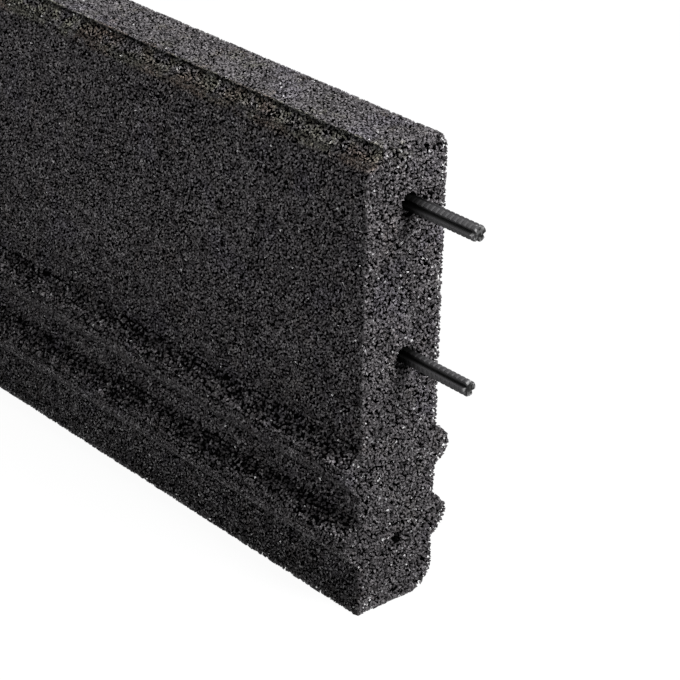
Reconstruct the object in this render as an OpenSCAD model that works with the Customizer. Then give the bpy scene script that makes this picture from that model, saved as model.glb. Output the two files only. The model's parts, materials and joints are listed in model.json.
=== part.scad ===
// Rubber lawn edging: one straight kerb of bonded rubber crumb, with two moulded plastic connecting
// pins in its right-hand end and the sockets for a neighbour's pins in the other end.
// The kerb lies along X with its pinned end towards +X, and stands on its foot in the XY plane. Its
// front, the broad face under the hollow top edge, looks to -Y. The origin is the middle of the
// underside. Sizes are in millimetres.

/* [Kerb] */
// Length of one kerb
kerb_l = 1000; // [300:50:1500]
// Thickness between the two broad faces
kerb_t = 50; // [36:1:90]
// Height from the foot to the top
kerb_h = 250; // [200:5:400]

/* [Hollow top edge in front] */
// How far the hollow edge cuts into the top face
cove_in = 8; // [3:0.5:12]
// How far the hollow edge cuts down the broad face
cove_drop = 8; // [3:0.5:10]
// Radius of the hollow
cove_r = 8; // [7:0.5:20]

/* [Blunt top edge behind] */
// How far the blunt edge cuts into the top face
blunt_in = 7.5; // [5:0.5:12]
// How far the blunt edge cuts down the broad face
blunt_drop = 8; // [5:0.5:12]
// How far the corner between its two slopes lies in from the broad face
knee_in = 3.5; // [1:0.5:4.5]
// How far the corner between its two slopes lies below the top
knee_drop = 2.5; // [1:0.5:4.5]

/* [Ribs] */
// Height of the lower rib's underside above the foot
lower_rib_z = 28.5; // [8:0.5:40]
// Height of the upper rib's underside above the foot
upper_rib_z = 68; // [56:0.5:120]
// Height of a rib where it meets the broad face
rib_h = 25.5; // [24:0.5:36]
// How far a rib's fullest line stands out from the broad face
rib_out = 9; // [4:0.5:14]
// Height of a rib's fullest line above its underside
full_h = 11; // [8:0.5:14]
// Height of the sloping shoulder above a rib's crest
shoulder_h = 9; // [2:0.5:11]
// How far the crest's upper edge stands back from the fullest line
upper_back = 1; // [0:0.5:3]
// Height of the slope under a rib's crest
under_h = 6; // [1:0.5:7]
// How far the crest's lower edge stands back from the fullest line
lower_back = 2.5; // [0:0.5:3.5]

/* [Lower pin] */
// Height of the lower pin above the foot
lower_pin_z = 137; // [60:1:145]
// How far the lower pin stands out of the end face
lower_pin_out = 44; // [15:1:55]
// Turn of the lower pin about its own axis, in degrees
lower_pin_turn = 8; // [0:1:90]

/* [Upper pin] */
// Distance of the upper pin below the top
upper_pin_drop = 33; // [20:1:45]
// How far the upper pin stands out of the end face
upper_pin_out = 46; // [15:1:55]
// Turn of the upper pin about its own axis, in degrees
upper_pin_turn = 29; // [0:1:90]

/* [Both pins] */
// How far the pins sit behind the middle of the kerb's thickness
pin_back = 3; // [0:0.5:8]
// Radius over the teeth of a pin
pin_r = 4.3; // [3.5:0.1:8]
// Thickness of one fin
fin_t = 3; // [1.6:0.1:4]
// Whole length of one pin
pin_length = 90; // [60:5:160]
// Distance from one tooth to the next along a fin
tooth_pitch = 3.2; // [2:0.1:8]
// Depth of the notch between two teeth
tooth_depth = 0.4; // [0.2:0.1:1.2]
// Length of the slope on each side of a notch
tooth_slope = 0.8; // [0.3:0.1:0.9]
// Length of the bevel at each end of a pin
tip_bevel_l = 1; // [0.2:0.1:3]
// How far the bevel narrows a pin's tip
tip_bevel_in = 0.5; // [0.1:0.1:2]

/* [Sockets] */
// Gap all round between a pin and its socket
socket_gap = 0.3; // [0.1:0.1:0.9]
// Depth left free behind a pin that is pushed home
socket_spare = 1; // [0.5:0.5:5]

/* [Hidden] */
$fn = 64;
half_l = kerb_l / 2;
half_t = kerb_t / 2;
upper_pin_z = kerb_h - upper_pin_drop;
socket_r = pin_r + socket_gap;
// How far a cut runs past the faces that it opens
past = 1;

// The hollow passes through two edges: one on the top face, one on the broad face. Its axis lies
// off the middle of the line between them, on the outer side.
cove_chord = norm([cove_in, cove_drop]);
cove_rise = sqrt(cove_r ^ 2 - (cove_chord / 2) ^ 2);
cove_y = half_t - cove_in / 2 + cove_rise * cove_drop / cove_chord;
cove_z = kerb_h - cove_drop / 2 + cove_rise * cove_in / cove_chord;

// One rib's outline on the back, from its underside up
function rib(z) = [
    [half_t, z],
    [half_t + rib_out - lower_back, z + under_h],
    [half_t + rib_out, z + full_h],
    [half_t + rib_out - upper_back, z + rib_h - shoulder_h],
    [half_t, z + rib_h]
];

// The back of the section, from the foot up to a given top edge
function back_side(edge) = concat([[half_t, 0]], rib(lower_rib_z), rib(upper_rib_z), edge);

// The front of the section is the same up to its square top edge, mirrored and taken downwards
square_side = back_side([[half_t, kerb_h]]);
front_side = [for (i = [len(square_side) - 1 : -1 : 0]) [-square_side[i].x, square_side[i].y]];

blunt_edge = [
    [half_t, kerb_h - blunt_drop],
    [half_t - knee_in, kerb_h - knee_drop],
    [half_t - blunt_in, kerb_h]
];

// The two blind round holes for one pin: in the left-hand end for the part of a neighbour's pin that
// stands out, and in the right-hand end for the rest of the kerb's own pin
module sockets(z, out) {
    own_l = pin_length - out + socket_spare;
    open_l = out + socket_spare;
    translate([half_l - own_l, pin_back, z])
        rotate([0, 90, 0])
            cylinder(r = socket_r, h = own_l + past);
    translate([-half_l - past, pin_back, z])
        rotate([0, 90, 0])
            cylinder(r = socket_r, h = open_l + past);
}

module kerb() {
    color([0.13, 0.13, 0.13])
        difference() {
            translate([-half_l, 0, 0])
                rotate([90, 0, 90])
                    linear_extrude(kerb_l)
                        polygon(concat(back_side(blunt_edge), front_side));
            translate([-half_l - past, -cove_y, cove_z])
                rotate([0, 90, 0])
                    cylinder(r = cove_r, h = kerb_l + 2 * past);
            sockets(lower_pin_z, lower_pin_out);
            sockets(upper_pin_z, upper_pin_out);
        }
}

// The notches that fit between the bevels at a pin's ends, evenly spaced about its middle
notch_count = floor((pin_length - 2 * tip_bevel_l) / tooth_pitch);
notch_x0 = (pin_length - (notch_count - 1) * tooth_pitch) / 2;

// A pin's outline from its axis outwards, with a notch between each two teeth
pin_outline = concat(
    [[0, 0], [pin_r - tip_bevel_in, 0], [pin_r, tip_bevel_l]],
    [for (i = [0 : notch_count - 1])
        let (x = notch_x0 + i * tooth_pitch)
        each [[pin_r, x - tooth_slope], [pin_r - tooth_depth, x], [pin_r, x + tooth_slope]]],
    [[pin_r, pin_length - tip_bevel_l], [pin_r - tip_bevel_in, pin_length], [0, pin_length]]
);

// A fin's full width across the pin, drawn wide so that the outline finishes both its edges
module fin() {
    translate([-pin_r - past, -fin_t / 2, -past])
        cube([2 * (pin_r + past), fin_t, pin_length + 2 * past]);
}

// Two crossed fins inside the turned outline, laid along X through the end face
module pin(z, out, turn) {
    color([0.05, 0.05, 0.05])
        translate([half_l + out - pin_length, pin_back, z])
            rotate([turn, 0, 0])
                rotate([0, 90, 0])
                    intersection() {
                        rotate_extrude() polygon(pin_outline);
                        union() {
                            fin();
                            rotate([0, 0, 90]) fin();
                        }
                    }
}

module lower_pin() {
    pin(lower_pin_z, lower_pin_out, lower_pin_turn);
}

module upper_pin() {
    pin(upper_pin_z, upper_pin_out, upper_pin_turn);
}

kerb();
lower_pin();
upper_pin();
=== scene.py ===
# %% [markdown]
# # Rubber lawn edging
#
# One straight kerb of bonded rubber crumb stands on its foot, with two moulded connecting pins in
# one end. The solid model already holds the sizes: the slab with its ribs, the hollow top edge in
# front and the blunt one behind, the sockets and the pins. This script gives those solids their
# looks. Everything is in metres, X runs along the kerb towards the pinned end, Z is up, and the
# broad face seen first looks to -Y.

# %% Load the solid model
import json
import math

import bpy
from mathutils import Matrix, Vector

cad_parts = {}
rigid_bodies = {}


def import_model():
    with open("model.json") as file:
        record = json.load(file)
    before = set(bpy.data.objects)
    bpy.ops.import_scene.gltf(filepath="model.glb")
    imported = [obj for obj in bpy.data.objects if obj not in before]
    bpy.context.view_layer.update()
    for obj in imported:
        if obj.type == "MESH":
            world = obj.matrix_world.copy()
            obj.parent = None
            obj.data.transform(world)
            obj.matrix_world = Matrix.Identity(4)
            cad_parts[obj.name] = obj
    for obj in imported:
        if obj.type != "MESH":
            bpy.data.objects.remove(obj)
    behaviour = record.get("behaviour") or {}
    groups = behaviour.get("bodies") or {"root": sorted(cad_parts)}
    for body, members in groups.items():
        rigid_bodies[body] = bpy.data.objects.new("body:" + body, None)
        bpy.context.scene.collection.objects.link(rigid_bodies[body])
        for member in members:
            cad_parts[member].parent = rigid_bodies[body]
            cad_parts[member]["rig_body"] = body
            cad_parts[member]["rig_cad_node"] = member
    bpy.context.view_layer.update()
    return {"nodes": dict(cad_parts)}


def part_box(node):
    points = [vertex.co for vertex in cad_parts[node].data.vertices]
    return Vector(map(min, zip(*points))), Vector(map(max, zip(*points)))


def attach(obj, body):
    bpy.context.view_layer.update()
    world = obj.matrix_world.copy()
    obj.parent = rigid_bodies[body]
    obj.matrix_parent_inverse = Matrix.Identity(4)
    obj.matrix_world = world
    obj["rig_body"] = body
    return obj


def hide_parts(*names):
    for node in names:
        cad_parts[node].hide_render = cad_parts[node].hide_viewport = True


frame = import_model()
MM = 0.001
kerb = frame["nodes"]["kerb"]
kerb_low, kerb_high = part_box("kerb")
print("kerb from", kerb_low, "to", kerb_high)

# %% [markdown]
# ## Camera
#
# A long lens stands well back, to the right of the pinned end and above the top, so that the end
# face, the broad face and the top all show and the far part of the kerb runs out of the picture.
# The camera's three axes come from its azimuth, elevation and a small roll; its place is given
# from the foot of the pinned end.

# %% Camera
AZIMUTH, ELEVATION, ROLL = (math.radians(angle) for angle in (48.721, 26.254, 1.202))
LENS_MM, SENSOR_MM = 129.23, 36.0
ASIDE, ABOVE, AWAY = -0.027274, 0.131405, 1.23499
FARTHEST = 20

level = Vector((math.cos(AZIMUTH), math.sin(AZIMUTH), 0))
outward = Vector((math.sin(AZIMUTH), -math.cos(AZIMUTH), 0))
back = outward * math.cos(ELEVATION) + Vector((0, 0, math.sin(ELEVATION)))
rising = back.cross(level)
right = level * math.cos(ROLL) + rising * math.sin(ROLL)
up = rising * math.cos(ROLL) - level * math.sin(ROLL)
end_foot = Vector((kerb_high.x, 0, kerb_low.z))

bpy.ops.object.camera_add(location=end_foot + right * ASIDE + up * ABOVE + back * AWAY)
camera = bpy.context.object
camera.rotation_euler = Matrix((right, up, back)).transposed().to_euler()
camera.data.sensor_width = SENSOR_MM
camera.data.lens = LENS_MM
camera.data.clip_end = FARTHEST
bpy.context.scene.camera = camera
bpy.context.scene.view_settings.view_transform = "Standard"
print("camera at", camera.location)

# %% [markdown]
# ## Wiring nodes
#
# The materials and the sowing of the crumbs are both node trees. Wiring by hand takes long and
# reads badly, so Wire wraps one output socket and gives it the arithmetic operators: a formula in
# Python then adds the Math nodes by itself. Every other node comes from node(), which takes the
# node's type, its settings, and the values or wires of its sockets.

# %% Wire
class Wire:
    """One node output that can be used in sums."""

    def __init__(self, tree, socket):
        self.tree = tree
        self.socket = socket

    def math(self, operation, *others):
        inputs = dict(enumerate((self, *others)))
        return node(self.tree, "ShaderNodeMath", {"operation": operation}, inputs)[0]

    def __add__(self, other):
        return self.math("ADD", other)

    def __sub__(self, other):
        return self.math("SUBTRACT", other)

    def __rsub__(self, other):
        return (self * -1) + other

    def __mul__(self, other):
        return self.math("MULTIPLY", other)

    def __truediv__(self, other):
        return self.math("DIVIDE", other)

    def __pow__(self, other):
        return self.math("POWER", other)

    def __gt__(self, other):
        return self.math("GREATER_THAN", other)

    def __lt__(self, other):
        return self.math("LESS_THAN", other)

    def __abs__(self):
        return self.math("ABSOLUTE")

    def at_least(self, other):
        return self.math("MAXIMUM", other)

    def at_most(self, other):
        return self.math("MINIMUM", other)

    def ramp(self, low, high):
        """0 up to low, 1 from high, and a smooth rise between them."""
        inputs = {"Value": self, "From Min": low, "From Max": high}
        return node(self.tree, "ShaderNodeMapRange", {"interpolation_type": "SMOOTHSTEP"}, inputs)[0]

    def band(self, start, full, fade, end):
        """1 from full to fade, with a smooth fall to 0 at start and at end."""
        return self.ramp(start, full) * (1 - self.ramp(fade, end))

    __radd__ = __add__
    __rmul__ = __mul__


# %% Nodes
class Outputs:
    """A node's outputs, by name or number, or the one that is in use for a kind of value."""

    def __init__(self, tree, made):
        self.tree = tree
        self.made = made

    def __getitem__(self, name):
        return Wire(self.tree, self.made.outputs[name])

    def of_kind(self, kind):
        return Wire(self.tree, next(o for o in self.made.outputs if o.type == kind and o.enabled))


def node(tree, kind, settings=None, inputs=None):
    """Adds a node, sets it, feeds its sockets and returns its outputs."""
    made = tree.nodes.new(kind)
    for name, value in (settings or {}).items():
        setattr(made, name, value)
    for name, value in (inputs or {}).items():
        if isinstance(value, Wire):
            tree.links.new(value.socket, made.inputs[name])
        else:
            made.inputs[name].default_value = value
    return Outputs(tree, made)


def vector(tree, operation, first, second=(0.0, 0.0, 0.0), output="Vector"):
    """One sum on two vectors."""
    return node(tree, "ShaderNodeVectorMath", {"operation": operation}, {0: first, 1: second})[output]


def scaled(tree, wire, factor):
    """A vector times a number."""
    return node(tree, "ShaderNodeVectorMath", {"operation": "SCALE"}, {0: wire, "Scale": factor})[0]


def axes(tree, wire):
    """The three numbers in a vector."""
    split = node(tree, "ShaderNodeSeparateXYZ", None, {0: wire})
    return split[0], split[1], split[2]


def noise(tree, place, scale, detail=2.0, roughness=0.5):
    """A cloudy pattern about 0.5, finer with a larger scale."""
    inputs = {"Vector": place, "Scale": scale, "Detail": detail, "Roughness": roughness}
    return node(tree, "ShaderNodeTexNoise", None, inputs)[0]


# %% [markdown]
# ## Handling objects
#
# Operators act on what is selected, so each of these helpers first selects one object alone. A copy
# of a solid would still be taken for that solid, so its marks are taken off. A modifier is applied
# as soon as it is set, and leaves a plain mesh for the next step.

# %% Object helpers
def only(thing):
    """Selects one object and makes it active."""
    bpy.ops.object.select_all(action="DESELECT")
    thing.select_set(True)
    bpy.context.view_layer.objects.active = thing


def copy_of(thing, name):
    """A copy with its own mesh, as an object that no longer counts as a node of the solid model."""
    only(thing)
    bpy.ops.object.duplicate()
    made = bpy.context.object
    made.name = name
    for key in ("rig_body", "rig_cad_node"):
        if key in made:
            del made[key]
    return made


def finish_modifier(thing, kind, **settings):
    """Adds one modifier, sets it and applies it."""
    only(thing)
    modifier = thing.modifiers.new(kind, kind)
    for name, value in settings.items():
        setattr(modifier, name, value)
    bpy.ops.object.modifier_apply(modifier=modifier.name)


def triangles(thing):
    return sum(len(face.vertices) - 2 for face in thing.data.polygons)


# %% [markdown]
# ## The mould's surface
#
# A real kerb is made by tipping rubber crumb and binder into a mould and pressing it. The mould's
# surface is the solid model's, so a copy of the kerb, with its loose triangles merged, becomes the
# bed on which crumbs are sown. Its section is read off the pinned end: the broad face's distance
# from the middle, and for each rib the top of its crest and the root where its shoulder ends. The
# sockets, which open in that end too, lie closer to the middle and are left out.

# %% Bed
MERGE = 0.01 * MM

bed = copy_of(kerb, "bed")
bpy.ops.object.mode_set(mode="EDIT")
bpy.ops.mesh.select_all(action="SELECT")
bpy.ops.mesh.remove_doubles(threshold=MERGE)
bpy.ops.object.mode_set(mode="OBJECT")
print("bed has", triangles(bed), "triangles")

# %% Section
CLOSE = 0.1 * MM
SOCKETS_WITHIN = 10 * MM

outline = sorted({(round(v.co.z, 6), round(-v.co.y, 6)) for v in bed.data.vertices
                  if v.co.x > kerb_high.x - CLOSE and v.co.y < -SOCKETS_WITHIN})
face_out = outline[0][1]
crest_tops = [above[0] for below, fullest, above in zip(outline, outline[1:], outline[2:])
              if fullest[1] > max(below[1], above[1])]
on_face = [z for z, out in outline if abs(out - face_out) < CLOSE]
RIBS = [(crest, min(z for z in on_face if z > crest)) for crest in crest_tops]
cove_z = max(on_face)
top_out = outline[-1][1]
top_z = kerb_high.z
print("broad face at", face_out, "with ribs (top of the crest, root)", RIBS)
print("hollow edge from a height of", cove_z, "to", top_out, "from the middle")

# %% [markdown]
# ## Hollows
#
# In a few places the crumb lies deeper than the mould's surface. Around each socket it has broken
# away, a little more below than above. The pinned end also has a small pit low in its face, and
# its back corner has crumbled at the foot. Each hollow is a cone: a centre, how far it reaches, and
# how deep it is in the middle.

# %% Hollows
SOCKET_REACH, SOCKET_DIP, SOCKET_SAG = 8.5 * MM, 4.5 * MM, 1.5 * MM
PIT = ((kerb_high.x, 1 * MM, 35 * MM), 4.5 * MM, 3.5 * MM)
CRUMBLED_CORNER = ((kerb_high.x, face_out, 0.0), 11 * MM, 8 * MM)
CRUMBLED_EDGE = ((kerb_high.x - 9 * MM, face_out, 0.0), 9 * MM, 6 * MM)

pins = {name: [(low + high) / 2 for low, high in zip(*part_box(name))]
        for name in ("lower_pin", "upper_pin")}
sockets = [((x, y, z - SOCKET_SAG), SOCKET_REACH, SOCKET_DIP)
           for _, y, z in pins.values() for x in (kerb_low.x, kerb_high.x)]
HOLLOWS = sockets + [PIT, CRUMBLED_CORNER, CRUMBLED_EDGE]


def hollows(tree, place):
    """How much deeper the surface lies near a socket, the pit or the crumbled corner."""
    total = 0.0
    for centre, reach, deep in HOLLOWS:
        away = vector(tree, "DISTANCE", place, centre, "Value")
        total = total + deep * (1 - away / reach).at_least(0.0)
    return total


print(len(HOLLOWS), "hollows")

# %% [markdown]
# ## Core
#
# Between the outer crumbs one looks into dark gaps, but never through the kerb. A closed core just
# under the crumbs stops the view. It is the bed remeshed to small squares, moved inwards along its
# normals by a Geometry Nodes tree, and thinned out again, since nobody sees its surface clearly. It
# moves in a little further on slopes, half as far at the foot, and deeper wherever there is a
# hollow.

# %% Geometry Nodes helpers
def open_tree(name):
    """An empty Geometry Nodes tree and the wire that brings its geometry in."""
    tree = bpy.data.node_groups.new(name, "GeometryNodeTree")
    for in_out in ("INPUT", "OUTPUT"):
        tree.interface.new_socket("Geometry", in_out=in_out, socket_type="NodeSocketGeometry")
    return tree, node(tree, "NodeGroupInput")[0]


def close_tree(tree, geometry):
    node(tree, "NodeGroupOutput", None, {0: geometry})
    return tree


def moved(tree, geometry, offset):
    """The geometry with each point moved by an offset of its own."""
    return node(tree, "GeometryNodeSetPosition", None, {"Geometry": geometry, "Offset": offset})[0]


# %% Core
CORE_VOXEL = 1.6 * MM
CORE_INSET, CORE_SLOPE_INSET = 1.6 * MM, 0.7 * MM
SLOPING, SQUARE_ON = 0.85, 0.97
CORE_FOOT_SHARE, CORE_FOOT_Z = 0.5, 3 * MM
CORE_KEEP = 0.08


def core_tree():
    """Moves the core in under the crumbs."""
    tree, given = open_tree("core")
    place = node(tree, "GeometryNodeInputPosition")[0]
    normal = node(tree, "GeometryNodeInputNormal")[0]
    y, z = axes(tree, normal)[1:]
    slope = 1 - abs(y).at_least(abs(z)).ramp(SLOPING, SQUARE_ON)
    at_foot = axes(tree, place)[2] < CORE_FOOT_Z
    sunk = (CORE_INSET + CORE_SLOPE_INSET * slope) * (1 - (1 - CORE_FOOT_SHARE) * at_foot)
    sunk = sunk + hollows(tree, place)
    return close_tree(tree, moved(tree, given, scaled(tree, normal, sunk * -1)))


core = copy_of(bed, "kerb_core")
finish_modifier(core, "REMESH", mode="VOXEL", voxel_size=CORE_VOXEL, adaptivity=0.0)
finish_modifier(core, "NODES", node_group=core_tree())
finish_modifier(core, "DECIMATE", ratio=CORE_KEEP)
print("core has", triangles(core), "triangles")

# %% [markdown]
# ## Crumb shapes
#
# Shredded tyre gives angular chips. A cone with three sides is already a rough chip. With its rim
# pulled down to a second point it is a fuller one, for the open surfaces, and closed off flat it is
# a flake, for the surfaces that the mould pressed. Each is then knocked out of shape by moving its
# corners at random. Eight of each are enough, since every copy is also turned and stretched.

# %% Crumb shapes
SHAPES = 8
CONE_H, LIFT, SECOND_POINT = 1.1, 0.3, 0.9
KNOCK = 0.3


def crumb_shape(fill, seed):
    """A closed three-sided granule, about 1 in radius: a flake, or a chip pointed at both ends."""
    bpy.ops.object.select_all(action="DESELECT")
    bpy.ops.mesh.primitive_cone_add(vertices=3, radius1=1, depth=CONE_H, end_fill_type=fill,
                                    location=(0, 0, LIFT))
    made = bpy.context.object
    bpy.ops.object.transform_apply(location=True)
    bpy.ops.object.mode_set(mode="EDIT")
    if fill == "NOTHING":
        bpy.ops.mesh.select_all(action="DESELECT")
        bpy.ops.mesh.select_non_manifold()
        bpy.ops.mesh.extrude_region_move(TRANSFORM_OT_translate={"value": (0, 0, -SECOND_POINT)})
        bpy.ops.mesh.merge(type="CENTER")
    bpy.ops.mesh.select_all(action="SELECT")
    bpy.ops.transform.vertex_random(offset=KNOCK, seed=seed)
    bpy.ops.mesh.normals_make_consistent(inside=False)
    bpy.ops.object.mode_set(mode="OBJECT")
    return made


def crumb_stock(name, fill):
    """A collection of crumb shapes that the sowing picks from."""
    stock = bpy.data.collections.new(name)
    bpy.context.scene.collection.children.link(stock)
    for seed in range(SHAPES):
        made = crumb_shape(fill, seed)
        for holder in list(made.users_collection):
            holder.objects.unlink(made)
        stock.objects.link(made)
    print(name, "have", triangles(made), "triangles each")
    return stock


chips = crumb_stock("chips", "NOTHING")
flakes = crumb_stock("flakes", "NGON")

# %% [markdown]
# ## Wear
#
# Near the edges that stick out some crumbs are rubbed down, some nibbled away and a few have fallen
# out: a little at the foot, more on the ribs and the end's edges, most of all on the blunt edge
# behind, and nothing on the hollow edge in front. With all other edges deleted, Geometry Proximity
# measures how far a point lies from the nearest of these. Two helpers come first: a random value
# for each point, and the deleting of what isn't wanted.

# %% Chance and choice
def chance(tree, seed, low=0.0, high=1.0, kind="FLOAT", output="VALUE"):
    """A random value of its own for each point."""
    inputs = {"Min": low, "Max": high, "Seed": seed}
    return node(tree, "FunctionNodeRandomValue", {"data_type": kind}, inputs).of_kind(output)


def dropped(tree, geometry, domain, selection):
    """The geometry without what is selected."""
    inputs = {"Geometry": geometry, "Selection": selection}
    return node(tree, "GeometryNodeDeleteGeometry", {"domain": domain}, inputs)[0]


# %% Wear
BLUNT_EDGE = 0.3
WEAR_REACH = 4.0 * MM
RUB, RUB_SCALE, RUB_FROM_TO = 1.1 * MM, 75.0, (0.42, 0.62)
NIBBLE, NIBBLE_SCALE, NIBBLE_FROM_TO = 1.6 * MM, 300.0, (0.5, 0.64)
MISSING, MISSING_FROM = 1.4 * MM, 0.8
FOOT_Z = 12 * MM
FOOT_SHARE, SIDE_SHARE, TOP_SHARE = 0.1, 0.15, 0.6


def wear(tree, given, place, seed):
    """How much is rubbed off, nibbled away or fallen out near an edge that sticks out."""
    turn = node(tree, "GeometryNodeInputMeshEdgeAngle")["Signed Angle"]
    inputs = {"Geometry": dropped(tree, given, "EDGE", turn < BLUNT_EDGE), "Source Position": place}
    away = node(tree, "GeometryNodeProximity", {"target_element": "EDGES"}, inputs)["Distance"]
    y, z = axes(tree, place)[1:]
    share = SIDE_SHARE - (SIDE_SHARE - FOOT_SHARE) * (z < FOOT_Z)
    share = share + (TOP_SHARE - SIDE_SHARE) * (z > cove_z)
    share = share * (1 - (z > cove_z) * (y < 0))
    rubbed_and_sheen = RUB * noise(tree, place, RUB_SCALE, 3.0).ramp(*RUB_FROM_TO)
    nibbled = NIBBLE * noise(tree, place, NIBBLE_SCALE).ramp(*NIBBLE_FROM_TO)
    fallen = MISSING * (chance(tree, seed) > MISSING_FROM)
    return (rubbed_and_sheen + nibbled + fallen) * share * (1 - away / WEAR_REACH).at_least(0.0)


# %% [markdown]
# ## Roots of the ribs
#
# A rib's root is where its shoulder meets the broad face above it. The crumb filled the mould badly
# there: the surface lies deeper, and the material paints shade on it, most just under the root
# itself, less towards the crest and up the face. From its crest to its root a rib also came away
# open, with a ragged border.

# %% Roots
ROOT_DIP = 2.2 * MM
ROOT_REACH_ABOVE = 13 * MM
BELOW_POWER, ABOVE_POWER = 0.8, 1.6
STRAY, STRAY_SCALE = 3.0 * MM, 60.0
SIDEWAYS = 0.5


def near_roots(z):
    """1 just under each rib's root, falling to 0 at its crest and some way up the face."""
    total = 0.0
    for crest, root in RIBS:
        deepest = root - ROOT_DIP
        below = (1 - (deepest - z) / (deepest - crest)).at_least(0.0) * (z < deepest)
        above = (1 - (z - deepest) / ROOT_REACH_ABOVE).at_least(0.0) * (z > deepest)
        total = total + below ** BELOW_POWER + above ** ABOVE_POWER
    return total


def open_above_ribs(tree, place, ny):
    """1 on the upper part of each rib, with a ragged border."""
    z = axes(tree, place)[2] + STRAY * 2 * (noise(tree, place, STRAY_SCALE) - 0.5)
    total = 0.0
    for crest, root in RIBS:
        total = total + (z > crest) * (z < root)
    return total * (abs(ny) > SIDEWAYS)


# %% [markdown]
# ## Sowing
#
# Poisson sampling gives points that keep a least distance from each other, as packed grains do.
# Each point carries one crumb, sunk below the mould's surface by its own amount: a little where the
# mould pressed the crumb, more and more unevenly where it came away open, on the end faces, the
# upper part of the ribs and the foot. The wear, the roots and the hollows sink it further. Values
# that are stored by name stay with the crumbs, for later trees and for the material.

# %% Stored values
def store(tree, geometry, name, value, domain="POINT", kind="FLOAT"):
    """The geometry with a value kept on it under a name."""
    settings = {"data_type": kind, "domain": domain}
    inputs = {"Geometry": geometry, "Name": name, "Value": value}
    return node(tree, "GeometryNodeStoreNamedAttribute", settings, inputs)[0]


def stored(tree, name, kind="FLOAT", output="VALUE"):
    """A value that was kept under a name."""
    settings = {"data_type": kind}
    return node(tree, "GeometryNodeInputNamedAttribute", settings, {"Name": name}).of_kind(output)


# %% Sow one kind of surface
SMALLEST, LARGEST = 0.75, 1.3
PLENTY = 3
FACING = 0.9
LUMPS, LUMP_SCALE = 1.8 * MM, 110.0
SELDOM = 3.0
ROOT_LOSS = 0.5 * MM


def sprinkle(tree, points, normal, stock, radius, sunk, seed):
    """Crumbs on points, each sunk below the surface along its normal."""
    laid = moved(tree, points, scaled(tree, normal, sunk * -1))
    inputs = {"Collection": stock, "Separate Children": True}
    shapes = node(tree, "GeometryNodeCollectionInfo", None, inputs)[0]
    low, high = SMALLEST * radius, LARGEST * radius
    inputs = {"Points": laid, "Instance": shapes, "Pick Instance": True,
              "Instance Index": chance(tree, seed + 2, 0, SHAPES - 1, "INT", "INT"),
              "Rotation": chance(tree, seed + 3, (0, 0, 0), (math.tau,) * 3, "FLOAT_VECTOR", "VECTOR"),
              "Scale": chance(tree, seed + 4, (low,) * 3, (high,) * 3, "FLOAT_VECTOR", "VECTOR")}
    return node(tree, "GeometryNodeInstanceOnPoints", None, inputs)[0]


def sow(tree, given, stock, zone, *, spacing, radius, inset, spread, seed):
    """Crumbs on one kind of surface."""
    settings = {"distribute_method": "POISSON"}
    inputs = {"Mesh": given, "Distance Min": spacing, "Density Max": PLENTY / spacing ** 2, "Seed": seed}
    sown = node(tree, "GeometryNodeDistributePointsOnFaces", settings, inputs)
    nx, ny, nz = axes(tree, sown["Normal"])
    place = node(tree, "GeometryNodeInputPosition")[0]
    foot, end, shoulder = nz < -FACING, abs(nx) > FACING, open_above_ribs(tree, place, ny)
    pressed = 1 - foot.at_least(end).at_least(shoulder)
    wanted = {"pressed": pressed, "end": end, "shoulder": shoulder, "foot": foot}[zone]
    kept = dropped(tree, sown["Points"], "POINT", 1 - wanted)
    lumps = noise(tree, place, LUMP_SCALE, 3.0) - 0.5
    sunk = inset + spread * chance(tree, seed + 1) ** SELDOM + LUMPS * lumps + hollows(tree, place)
    sunk = sunk + wear(tree, given, place, seed + 7)
    sunk = sunk + ROOT_LOSS * near_roots(axes(tree, place)[2]) * (abs(ny) > SIDEWAYS)
    return sprinkle(tree, kept, sown["Normal"], stock, radius, sunk, seed)


# %% [markdown]
# The foot's edges need a row of crumbs of their own, because the crumbs of two faces leave a gap
# between them, through which one would see the floor. Mesh to Curve turns those edges into curves,
# and Curve to Points walks along them. The row is shaken so that it doesn't look like piping.

# %% Row along the foot
SQUARE_EDGE = 1.0
SHAKE = 0.5 * MM
ROW_DIP = 1.4


def row(tree, given, stock, *, spacing, radius, inset, spread, seed):
    """A row of crumbs along the square edges of the foot."""
    turn = node(tree, "GeometryNodeInputMeshEdgeAngle")["Signed Angle"]
    at_foot = axes(tree, node(tree, "GeometryNodeInputPosition")[0])[2] < MM
    normal = node(tree, "GeometryNodeInputNormal")[0]
    leaning = store(tree, given, "lean", normal, "POINT", "FLOAT_VECTOR")
    inputs = {"Mesh": leaning, "Selection": (turn > SQUARE_EDGE) * at_foot}
    curve = node(tree, "GeometryNodeMeshToCurve", None, inputs)[0]
    inputs = {"Curve": curve, "Length": spacing}
    points = node(tree, "GeometryNodeCurveToPoints", {"mode": "LENGTH"}, inputs)[0]
    lean = stored(tree, "lean", "FLOAT_VECTOR", "VECTOR")
    place = node(tree, "GeometryNodeInputPosition")[0]
    sunk = inset + spread * chance(tree, seed + 1)
    sunk = sunk + wear(tree, given, place, seed + 7) + ROW_DIP * hollows(tree, place)
    loose = chance(tree, seed + 6, (-SHAKE,) * 3, (SHAKE,) * 3, "FLOAT_VECTOR", "VECTOR")
    return sprinkle(tree, moved(tree, points, loose), lean, stock, radius, sunk, seed)


# %% [markdown]
# One tree sows all of it. It also gives each crumb a tone and a chance of its own, which the
# material reads later, and the number of the stretch of kerb that it lies in: the whole skin is too
# heavy for one piece, so it is split into stretches of equal length.

# %% Sow the kerb
STRETCHES = 6


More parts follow.
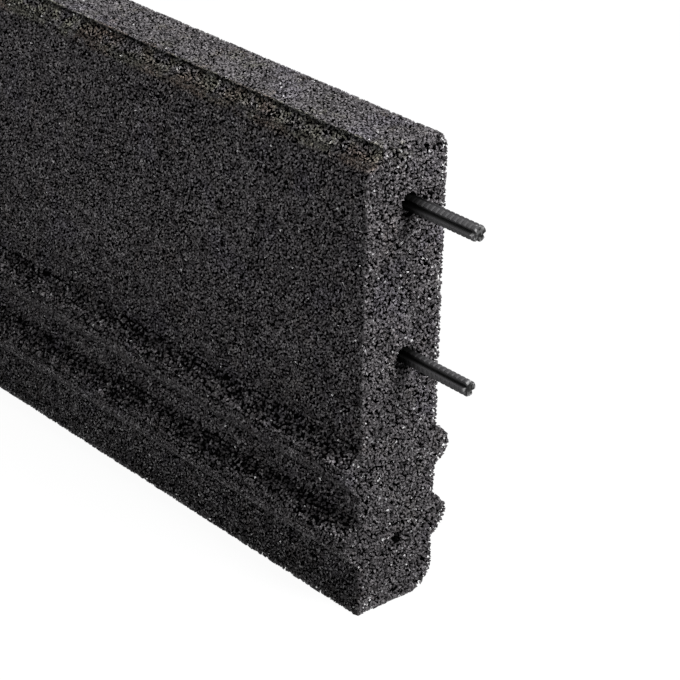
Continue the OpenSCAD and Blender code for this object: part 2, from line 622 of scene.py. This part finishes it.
def all_crops(tree, given):
    """The crumbs of each kind of surface, and the row along the foot."""
    return (
        sow(tree, given, flakes, "pressed",
            spacing=1.24 * MM, radius=1.14 * MM, inset=0.45 * MM, spread=0.5 * MM, seed=11),
        sow(tree, given, chips, "end",
            spacing=1.3 * MM, radius=1.25 * MM, inset=0.6 * MM, spread=0.7 * MM, seed=23),
        sow(tree, given, chips, "shoulder",
            spacing=1.45 * MM, radius=1.2 * MM, inset=0.6 * MM, spread=1.1 * MM, seed=37),
        sow(tree, given, chips, "foot",
            spacing=2.6 * MM, radius=2.1 * MM, inset=0.9 * MM, spread=0.8 * MM, seed=31),
        row(tree, given, chips,
            spacing=1.2 * MM, radius=1.5 * MM, inset=0.6 * MM, spread=0.6 * MM, seed=47),
    )


def crumb_tree():
    """Sows all kinds of surface and stores what the material and the splitting need."""
    tree, given = open_tree("crumbs")
    join = node(tree, "GeometryNodeJoinGeometry")
    for crop in all_crops(tree, given):
        tree.links.new(crop.socket, join.made.inputs[0])
    x = axes(tree, node(tree, "GeometryNodeInputPosition")[0])[0]
    stretch = ((x - kerb_low.x) / ((kerb_high.x - kerb_low.x) / STRETCHES)).math("FLOOR")
    named = store(tree, join[0], "tone", chance(tree, 5), "INSTANCE")
    named = store(tree, named, "luck", chance(tree, 6), "INSTANCE")
    named = store(tree, named, "stretch", stretch.at_least(0).at_most(STRETCHES - 1), "INSTANCE")
    return close_tree(tree, node(tree, "GeometryNodeRealizeInstances", None, {"Geometry": named})[0])


skin = copy_of(bed, "skin")
finish_modifier(skin, "NODES", node_group=crumb_tree())
print("sown", triangles(skin), "triangles of crumb")

# %% [markdown]
# ## Pressing
#
# The mould then presses the skin: Shrinkwrap in its Inside mode moves every corner that sticks out
# of the solid kerb back to its surface, so the outer crumbs get flat facets in the plane of the
# face and the kerb keeps its size. At sharp edges it misses a corner now and then, so all are also
# kept within the kerb's box. Afterwards each corner stores how deep it lies below the mould, in
# millimetres. The material paints shade into the gaps by it; the core counts as deeper still.

# %% Press and measure
CORE_DARK = 1.0


def depth_tree(extra=0.0):
    """Keeps all inside the kerb's box and stores how deep it lies, with an extra depth if wanted."""
    tree, given = open_tree("depth")
    place = node(tree, "GeometryNodeInputPosition")[0]
    boxed = vector(tree, "MINIMUM", vector(tree, "MAXIMUM", place, kerb_low), kerb_high)
    inside = node(tree, "GeometryNodeSetPosition", None, {"Geometry": given, "Position": boxed})[0]
    mould = node(tree, "GeometryNodeObjectInfo", None, {"Object": kerb})["Geometry"]
    near = node(tree, "GeometryNodeProximity", {"target_element": "FACES"}, {"Geometry": mould})
    return close_tree(tree, store(tree, inside, "depth", near["Distance"] / MM + extra))


finish_modifier(skin, "SHRINKWRAP", target=kerb, wrap_method="NEAREST_SURFACEPOINT",
                wrap_mode="INSIDE", offset=0.0)
finish_modifier(skin, "NODES", node_group=depth_tree())
finish_modifier(core, "NODES", node_group=depth_tree(CORE_DARK))
print("pressed to", [round(size, 4) for size in skin.dimensions])

# %% [markdown]
# Each stretch is a copy of the whole skin, from which a tree drops the crumbs of all the others.
# The skin, the bed and the crumb shapes have then done their work and are removed.

# %% Split into stretches
def stretch_tree(number):
    """Drops all crumbs but those of one stretch."""
    tree, given = open_tree("stretch")
    mine = stored(tree, "stretch")
    return close_tree(tree, dropped(tree, given, "POINT", abs(mine - number) > 0.5))


crumbs = []
for number in range(STRETCHES):
    piece = copy_of(skin, f"crumb_{number + 1}")
    finish_modifier(piece, "NODES", node_group=stretch_tree(number))
    crumbs.append(piece)
print("stretches hold", [triangles(piece) for piece in crumbs])
print("with the core", triangles(core) + sum(triangles(piece) for piece in crumbs))

# %% Clear away what was only used
for stock in (chips, flakes):
    for shape in list(stock.objects):
        bpy.data.objects.remove(shape)
    bpy.data.collections.remove(stock)
for used in (skin, bed):
    bpy.data.objects.remove(used)

# %% [markdown]
# ## Rubber
#
# Ground tyre is nearly black. Each crumb has a tone of its own, its broken sides carry a fine grain
# with tiny black pits, and whole patches of the mix are paler or darker. All patterns are worked
# out in the kerb's own coordinates. The first cell makes the brightness from these and from painted
# shade in the gaps, the next two multiply it by what each place adds or takes away, most of it
# painted light and shade, and only then does it get a colour.

# %% Material helpers
def new_material(name):
    """A material and its empty node tree."""
    material = bpy.data.materials.new(name)
    material.use_nodes = True
    tree = material.node_tree
    tree.nodes.clear()
    return material, tree


def attribute(tree, name):
    """A value that Geometry Nodes kept under a name, read in a material."""
    return node(tree, "ShaderNodeAttribute", {"attribute_name": name})["Fac"]


def blend(tree, factor, first, second):
    """The first colour where the factor is 0, the second where it is 1."""
    mix = node(tree, "ShaderNodeMix", {"data_type": "RGBA"}, {0: factor, 6: first, 7: second})
    return mix[2]


def grey(level):
    """A colour without a tint."""
    return (level, level, level, 1)


def beside(place, *offsets):
    """Places at offsets, in millimetres, from one place."""
    return [place + offset * MM for offset in offsets]


# %% Brightness of the crumbs
GRAIN_SCALE, CLUSTER_SCALE, PATCH_SCALE = 1150.0, 90.0, 22.0
DARK_TONE, TONE_RANGE = 0.07, 0.10
EVEN, PATCHY, CLUSTERED = 0.45, 0.6, 0.5
GAP_SHADE, GAP_SHADE_DEPTH = 0.9, (0.3, 1.9)
GRAIN_CONTRAST, TOP_CONTRAST = 4.5, 3.3
PIT_FLOOR = 0.04

rubber, tree = new_material("rubber_crumb")
spot = node(tree, "ShaderNodeTexCoord")["Object"]
along, out, height = axes(tree, spot)
luck, depth = attribute(tree, "luck"), attribute(tree, "depth")
fine = noise(tree, spot, GRAIN_SCALE, 2.0, 0.6)
cluster = noise(tree, spot, CLUSTER_SCALE)
patch = noise(tree, spot, PATCH_SCALE, 3.0, 0.6)

# Painted shade: the deeper a crumb lies below the mould, the darker it is, as shade falls into the gaps.
shade = 1 - GAP_SHADE * depth.ramp(*GAP_SHADE_DEPTH)
value = (DARK_TONE + TONE_RANGE * attribute(tree, "tone")) * shade
value = value * (EVEN + PATCHY * patch + CLUSTERED * cluster)
on_top = height.ramp(*beside(top_z, -1.5, -0.4))
contrast = GRAIN_CONTRAST + (TOP_CONTRAST - GRAIN_CONTRAST) * on_top
value = value * (1 + (fine - 0.5) * contrast).at_least(PIT_FLOOR)
print("tones from", DARK_TONE, "to", DARK_TONE + TONE_RANGE)

# %% [markdown]
# The broad faces get painted shade under the lower rib, at the roots of the ribs and in a band over
# the upper rib, and are darker towards the bottom edge. On the ribs themselves painted shade lies
# just under the crest's top edge, a painted highlight runs along that edge in places, some of the
# loose crumbs on the shoulder carry painted highlights, and the whole crest has a little painted
# shade. All of it gets painted shade low down, less towards the top, as the light falls off.

# %% Painted shade and highlights on the broad faces
FOOT_SHADE, FOOT_SHADE_Z = 0.42, (22 * MM, 34 * MM)
BOTTOM_DARKENING, BOTTOM_DARKENING_Z = 0.25, (6 * MM, 20 * MM)
BAND_SHADE, BAND_Z = 0.18, (95 * MM, 101 * MM, 112 * MM, 135 * MM)
ROOT_SHADE, BROW_SHADE, CREST_SHADE = 0.5, 0.45, 0.12
RIM_HIGHLIGHT, RIM_CLUSTERS = 0.8, (0.45, 0.6)
LOOSE_HIGHLIGHT, LOOSE_LUCK = 0.9, (0.84, 0.9)
LOW_SHADE, LOW_Z = 0.16, (40 * MM, 230 * MM)

broad = abs(out).ramp(*beside(face_out, -3, -1))
crest = abs(out).ramp(*beside(face_out, 5, 8))
# Painted shade under the lower rib and in a band over the upper rib; the faces are also darker towards
# the bottom edge.
face_shade = FOOT_SHADE * (1 - height.ramp(*FOOT_SHADE_Z)) + BOTTOM_DARKENING * (1 - height.ramp(*BOTTOM_DARKENING_Z))
face_shade = face_shade + BAND_SHADE * height.band(*BAND_Z)
# Painted shade at the roots of the ribs.
value = value * (1 - ROOT_SHADE * broad * near_roots(height)) * (1 - broad * face_shade)
# Painted shade just under each crest's top edge, a painted highlight along that edge in places, and
# painted highlights on some loose crumbs of the shoulder.
for crest_z, root_z in RIBS:
    brow = height.band(*beside(crest_z, -4, -2.5, -0.8, 0))
    rim = height.band(*beside(crest_z, -1, 0, 0.8, 1.8)) * cluster.ramp(*RIM_CLUSTERS)
    loose = broad * (height > crest_z) * (height < root_z) * luck.ramp(*LOOSE_LUCK)
    value = value * (1 - BROW_SHADE * brow * crest) * (1 + RIM_HIGHLIGHT * rim * crest)
    value = value * (1 + LOOSE_HIGHLIGHT * loose)
# Painted shade on each crest, which leans down, and painted shade growing towards the bottom, as the
# light falls off there.
value = value * (1 - CREST_SHADE * crest) * (1 - LOW_SHADE + LOW_SHADE * height.ramp(*LOW_Z))
print("dirt on", len(RIBS), "ribs")

# %% [markdown]
# The hollow edge in front is a little paler, but painted shade lies along the ledge at its foot and
# a painted shadow right under the top face. The pinned end has painted shade low down and painted
# light from about half way up, and is darker along its corner with the broad face in front.

# %% Hollow edge and pinned end
HOLLOW_PALE, LEDGE_SHADE, UNDER_TOP_SHADE = 0.05, 0.75, 0.95
CORNER_DARKENING = 0.4
END_SHADE, END_LIGHT, END_Z = 0.13, 0.19, (30 * MM, 110 * MM)

front_out = out * -1
at_front = front_out.ramp(*beside(top_out, -2, -1))
in_hollow = height.ramp(*beside(cove_z, -1.5, -0.5)) * at_front
ledge = 1 - height.ramp(*beside(cove_z, 0.3, 1.2))
under_top = height.band(*beside(top_z, -3.5, -1.5, -0.5, -0.1))
# Painted shade along the ledge and a painted shadow right under the top face.
value = value * (1 + in_hollow * (HOLLOW_PALE - LEDGE_SHADE * ledge - UNDER_TOP_SHADE * under_top))
at_end = along.ramp(*beside(kerb_high.x, -4, -2))
# Darker along the corner between the pinned end and the broad face in front.
corner = at_end * front_out.band(*beside(face_out, -1.2, -0.4, 0.5, 2))
value = value * (1 - CORNER_DARKENING * corner)
# Painted shade on the pinned end low down and painted light from about half way up.
value = value * (1 + at_end * (END_LIGHT * height.ramp(*END_Z) - END_SHADE))
print("the pinned end grows paler between heights of", END_Z)

# %% [markdown]
# Brown and olive dust clings to the hollow edge in front and, thinly, to some crumbs elsewhere. The
# clean rubber isn't quite neutral either: it leans to violet, and in some patches to blue.

# %% Dust and colour
STAIN_SCALE, STAINED_IN, STAIN_LUCK = 60.0, (0.5, 0.7), (0.3, 0.6)
THIN_DUST, MORE_DUST = 0.25, 0.4
CAUGHT_CLUSTERS, OLIVE_PATCHES = (0.35, 0.55), (0.45, 0.6)
COOL_SCALE, COOL_IN = 35.0, (0.55, 0.68)
PLAIN, COOL = (1.05, 0.98, 1.03), (1.04, 0.97, 1.09)
BROWN, OLIVE = (1.24, 0.99, 0.85), (1.06, 1.03, 0.85)


def tinted(tree, value, tint):
    """The colour that has this brightness and these shares of red, green and blue."""
    inputs = {i: value * share for i, share in enumerate(tint)}
    return node(tree, "ShaderNodeCombineColor", None, inputs)[0]


stained = noise(tree, spot, STAIN_SCALE).ramp(*STAINED_IN) * luck.ramp(*STAIN_LUCK)
stained = stained * (THIN_DUST + MORE_DUST * height.ramp(*beside(cove_z, -3, 0)))
caught = height.ramp(*beside(cove_z, -6, -1)) * at_front * cluster.ramp(*CAUGHT_CLUSTERS)
brown, olive = tinted(tree, value, BROWN), tinted(tree, value, OLIVE)
dust = blend(tree, patch.ramp(*OLIVE_PATCHES), brown, olive)
cool = noise(tree, spot, COOL_SCALE).ramp(*COOL_IN)
clean_and_unshaded = blend(tree, cool, tinted(tree, value, PLAIN), tinted(tree, value, COOL))
colour = blend(tree, stained.at_least(caught), clean_and_unshaded, dust)
print("dust from a height of", cove_z - 6 * MM)

# %% [markdown]
# A crumb's broken side has facets smaller than the crumb. Voronoi cells give each facet three
# numbers of its own: together they tilt the normal, the second sets the roughness, and the third
# picks the facets that are polished enough to glint. Of some larger cells a few carry painted
# glints, pale grey specks, most of them on the pinned end. Only crumbs near the mould's surface
# glint or carry painted glints.

# %% Facets, glints and painted glints
FACET_SCALE, GLINT_SPECK_SCALE = 950.0, 550.0
TILT, GRAIN_BUMP = 1.2, 0.4 * MM
NEAR_MOULD_DEPTH, POLISHED = (0.5, 1.2), (0.7, 0.75)
GLINT_SPECK_FROM, GLINT_SPECK_RADIUS, GLINT_SPECKS_ELSEWHERE = 0.94, (0.25, 0.4), 0.15
GLINT_SPECK_GREY = (0.45, 0.45, 0.46, 1)


def cells(tree, place, scale):
    """A Voronoi pattern, and the three random channels that each of its cells has."""
    pattern = node(tree, "ShaderNodeTexVoronoi", None, {"Vector": place, "Scale": scale})
    return pattern, node(tree, "ShaderNodeSeparateColor", None, {0: pattern["Color"]})


facet, of_facet = cells(tree, spot, FACET_SCALE)
tilt = scaled(tree, vector(tree, "SUBTRACT", facet["Color"], (0.5, 0.5, 0.5)), TILT)
upright = node(tree, "ShaderNodeNewGeometry")["Normal"]
leaning = vector(tree, "NORMALIZE", vector(tree, "ADD", upright, tilt))
inputs = {"Height": fine, "Distance": GRAIN_BUMP, "Strength": 1.0, "Normal": leaning}
bump = node(tree, "ShaderNodeBump", None, inputs)[0]

near_mould = 1 - depth.ramp(*NEAR_MOULD_DEPTH)
polish = of_facet[2].ramp(*POLISHED) * near_mould
# Painted glints: a few pale grey specks, most of them on the pinned end.
glint_specks, of_glint_specks = cells(tree, spot, GLINT_SPECK_SCALE)
painted_glint = (of_glint_specks[0] > GLINT_SPECK_FROM) * (1 - glint_specks["Distance"].ramp(*GLINT_SPECK_RADIUS)) * near_mould
painted_glint = painted_glint * (GLINT_SPECKS_ELSEWHERE + (1 - GLINT_SPECKS_ELSEWHERE) * at_end)
colour = blend(tree, painted_glint, colour, GLINT_SPECK_GREY)
print("facets about", round(1 / FACET_SCALE / MM, 2), "mm wide")

# %% [markdown]
# Deep in a gap no light comes back at all, so there the rubber gives way to a flat black.

# %% Rubber shader
DULL, DULL_RANGE = 0.75, 0.2
COAT_ROUGHNESS, SPECULAR = 0.22, 0.12
GAP_BLACK, GAP_DEPTH = grey(0.002), (1.1, 2.2)

inputs = {"Base Color": colour, "Roughness": DULL - DULL_RANGE * of_facet[1], "Normal": bump,
          "Coat Weight": polish, "Coat Roughness": COAT_ROUGHNESS, "Specular IOR Level": SPECULAR}
skin_shader = node(tree, "ShaderNodeBsdfPrincipled", None, inputs)[0]
gap_shader = node(tree, "ShaderNodeBsdfDiffuse", None, {"Color": GAP_BLACK})[0]
inputs = {0: depth.ramp(*GAP_DEPTH), 1: skin_shader, 2: gap_shader}
both = node(tree, "ShaderNodeMixShader", None, inputs)[0]
node(tree, "ShaderNodeOutputMaterial", None, {"Surface": both})
print("rubber has", len(tree.nodes), "nodes")

# %% [markdown]
# ## Pins
#
# The pins are moulded from black plastic with a soft shine. Their solids already have the fins and
# the teeth, so they only get a material: near black, with a painted sheen on the edges of the fins,
# painted shade in the grooves and near the kerb, a faint cloudiness in the shine from handling, a
# fine moulded grain, and paler grey patches on the end that is knocked into the next kerb.

# %% Pin plastic
CLOUD_SCALE, CLOUD_LOW, CLOUD_RANGE = 350.0, 0.7, 0.6
MOULD_GRAIN_SCALE, MOULD_GRAIN_BUMP, MOULD_GRAIN_STRENGTH = 2600.0, 0.05 * MM, 0.5
SHINE_ROUGHNESS, CLOUD_ROUGHNESS = 0.42, 0.25
SHEEN_ON_FINS, GROOVES = (2.4 * MM, 3.9 * MM), (2.3 * MM, 3.5 * MM)
PLASTIC_BLACK, PLASTIC_SHEEN = grey(0.006), (0.032, 0.031, 0.033, 1)
TIP_PATCH_GREY, TIP_PATCH_SHARE, TIP_PATCH_SCALE, TIP_PATCHES_IN = grey(0.4), 0.7, 420.0, (0.45, 0.6)
SHADE_BLACK, GROOVE_UNSHADED = grey(0.003), 0.35

plastic, tree = new_material("pin_plastic")
spot = node(tree, "ShaderNodeTexCoord")["Object"]
along, across, height = axes(tree, spot)
cloud = noise(tree, spot, CLOUD_SCALE, 3.0, 0.6)
mould_grain = noise(tree, spot, MOULD_GRAIN_SCALE)
off_axis = 1.0
for _, y, z in pins.values():
    off_axis = (((across - y) ** 2.0 + (height - z) ** 2.0) ** 0.5).at_most(off_axis)

# Painted sheen: the edges of the fins are paler, where the light would shine off them.
rubbed_and_sheen = off_axis.ramp(*SHEEN_ON_FINS) * (CLOUD_LOW + CLOUD_RANGE * cloud)
colour = blend(tree, rubbed_and_sheen, PLASTIC_BLACK, PLASTIC_SHEEN)
tip_x = min(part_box(name)[1].x for name in pins)
# Paler grey patches on the tip.
tip_patch = along.ramp(*beside(tip_x, -1.2, 0)) * noise(tree, spot, TIP_PATCH_SCALE).ramp(*TIP_PATCHES_IN)
colour = blend(tree, TIP_PATCH_SHARE * tip_patch, colour, TIP_PATCH_GREY)
inputs = {"Height": mould_grain, "Distance": MOULD_GRAIN_BUMP, "Strength": MOULD_GRAIN_STRENGTH}
bump = node(tree, "ShaderNodeBump", None, inputs)[0]
inputs = {"Base Color": colour, "Roughness": SHINE_ROUGHNESS + CLOUD_ROUGHNESS * cloud, "Normal": bump}
shine = node(tree, "ShaderNodeBsdfPrincipled", None, inputs)[0]

# Painted shade: a flat dark in the grooves and near the kerb, where shade falls.
pin_shade = node(tree, "ShaderNodeBsdfDiffuse", None, {"Color": SHADE_BLACK})[0]
clean_and_unshaded = along.ramp(*beside(kerb_high.x, 2, 20))
clean_and_unshaded = clean_and_unshaded * (GROOVE_UNSHADED + (1 - GROOVE_UNSHADED) * off_axis.ramp(*GROOVES))
both = node(tree, "ShaderNodeMixShader", None, {0: clean_and_unshaded, 1: pin_shade, 2: shine})[0]
node(tree, "ShaderNodeOutputMaterial", None, {"Surface": both})
print("pins' tips at", tip_x)

# %% [markdown]
# ## Putting it together
#
# The crumbs and the core stand for the solid kerb, which is hidden, and belong to the one body. The
# pins keep their solids.

# %% Dress
def dress(thing, material):
    """Gives a piece one material in place of what it had."""
    thing.data.materials.clear()
    thing.data.materials.append(material)


for piece in [core] + crumbs:
    dress(piece, rubber)
    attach(piece, "root")
    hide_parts("kerb")
for name in pins:
    dress(frame["nodes"][name], plastic)
print("dressed", len(crumbs) + 1, "rubber pieces and", len(pins), "pins")

# %% [markdown]
# ## Floor and light
#
# The picture is taken on white: the floor and the sky are white to the camera and in reflections,
# while the light that they throw on the object stays low. The main lamp stands high on the right,
# a little behind the kerb, so the top and the end face are bright and the broad face lies in soft
# shade, which a small lamp in front fills.

# %% Floor
FLOOR_SIZE = 12
FLOOR_GREY = grey(0.09)
WHITE = grey(1)
FLOOR_GLOW = 0.93


def seen_directly(tree):
    """1 for the camera and in reflections, 0 for the light that falls on the object."""
    path = node(tree, "ShaderNodeLightPath")
    return path["Is Camera Ray"].at_least(path["Is Glossy Ray"])


bpy.ops.mesh.primitive_plane_add(size=FLOOR_SIZE)
floor = bpy.context.object
floor.name = "floor"
white, tree = new_material("floor_white")
diffuse = node(tree, "ShaderNodeBsdfDiffuse", None, {"Color": FLOOR_GREY})[0]
inputs = {"Color": WHITE, "Strength": FLOOR_GLOW * seen_directly(tree)}
glow = node(tree, "ShaderNodeEmission", None, inputs)[0]
both = node(tree, "ShaderNodeAddShader", None, {0: diffuse, 1: glow})[0]
node(tree, "ShaderNodeOutputMaterial", None, {"Surface": both})
dress(floor, white)
print("floor is", FLOOR_SIZE, "m wide")

# %% Sky
SKY = 0.3

world = bpy.data.worlds.new("world")
bpy.context.scene.world = world
world.use_nodes = True
tree = world.node_tree
tree.nodes.clear()
inputs = {"Color": WHITE, "Strength": SKY + (1 - SKY) * seen_directly(tree)}
sky = node(tree, "ShaderNodeBackground", None, inputs)[0]
node(tree, "ShaderNodeOutputWorld", None, {"Surface": sky})
print("sky lights the object with", SKY)


# %% Lamps
def soft_light(name, *, place, aim, size, power):
    """A square lamp that looks at a point."""
    bpy.ops.object.light_add(type="AREA", location=place)
    lamp = bpy.context.object
    lamp.name = name
    lamp.data.size = size
    lamp.data.energy = power
    lamp.rotation_euler = (Vector(place) - Vector(aim)).to_track_quat("Z", "Y").to_euler()
    print(name, "lamp at", place)


soft_light("key", place=(2.16, 0.45, 1.95), aim=(0.4, 0, 0.15), size=1.3, power=91)
soft_light("fill", place=(0.6, -1.6, 2.0), aim=(0.1, 0, 0.15), size=0.7, power=18)
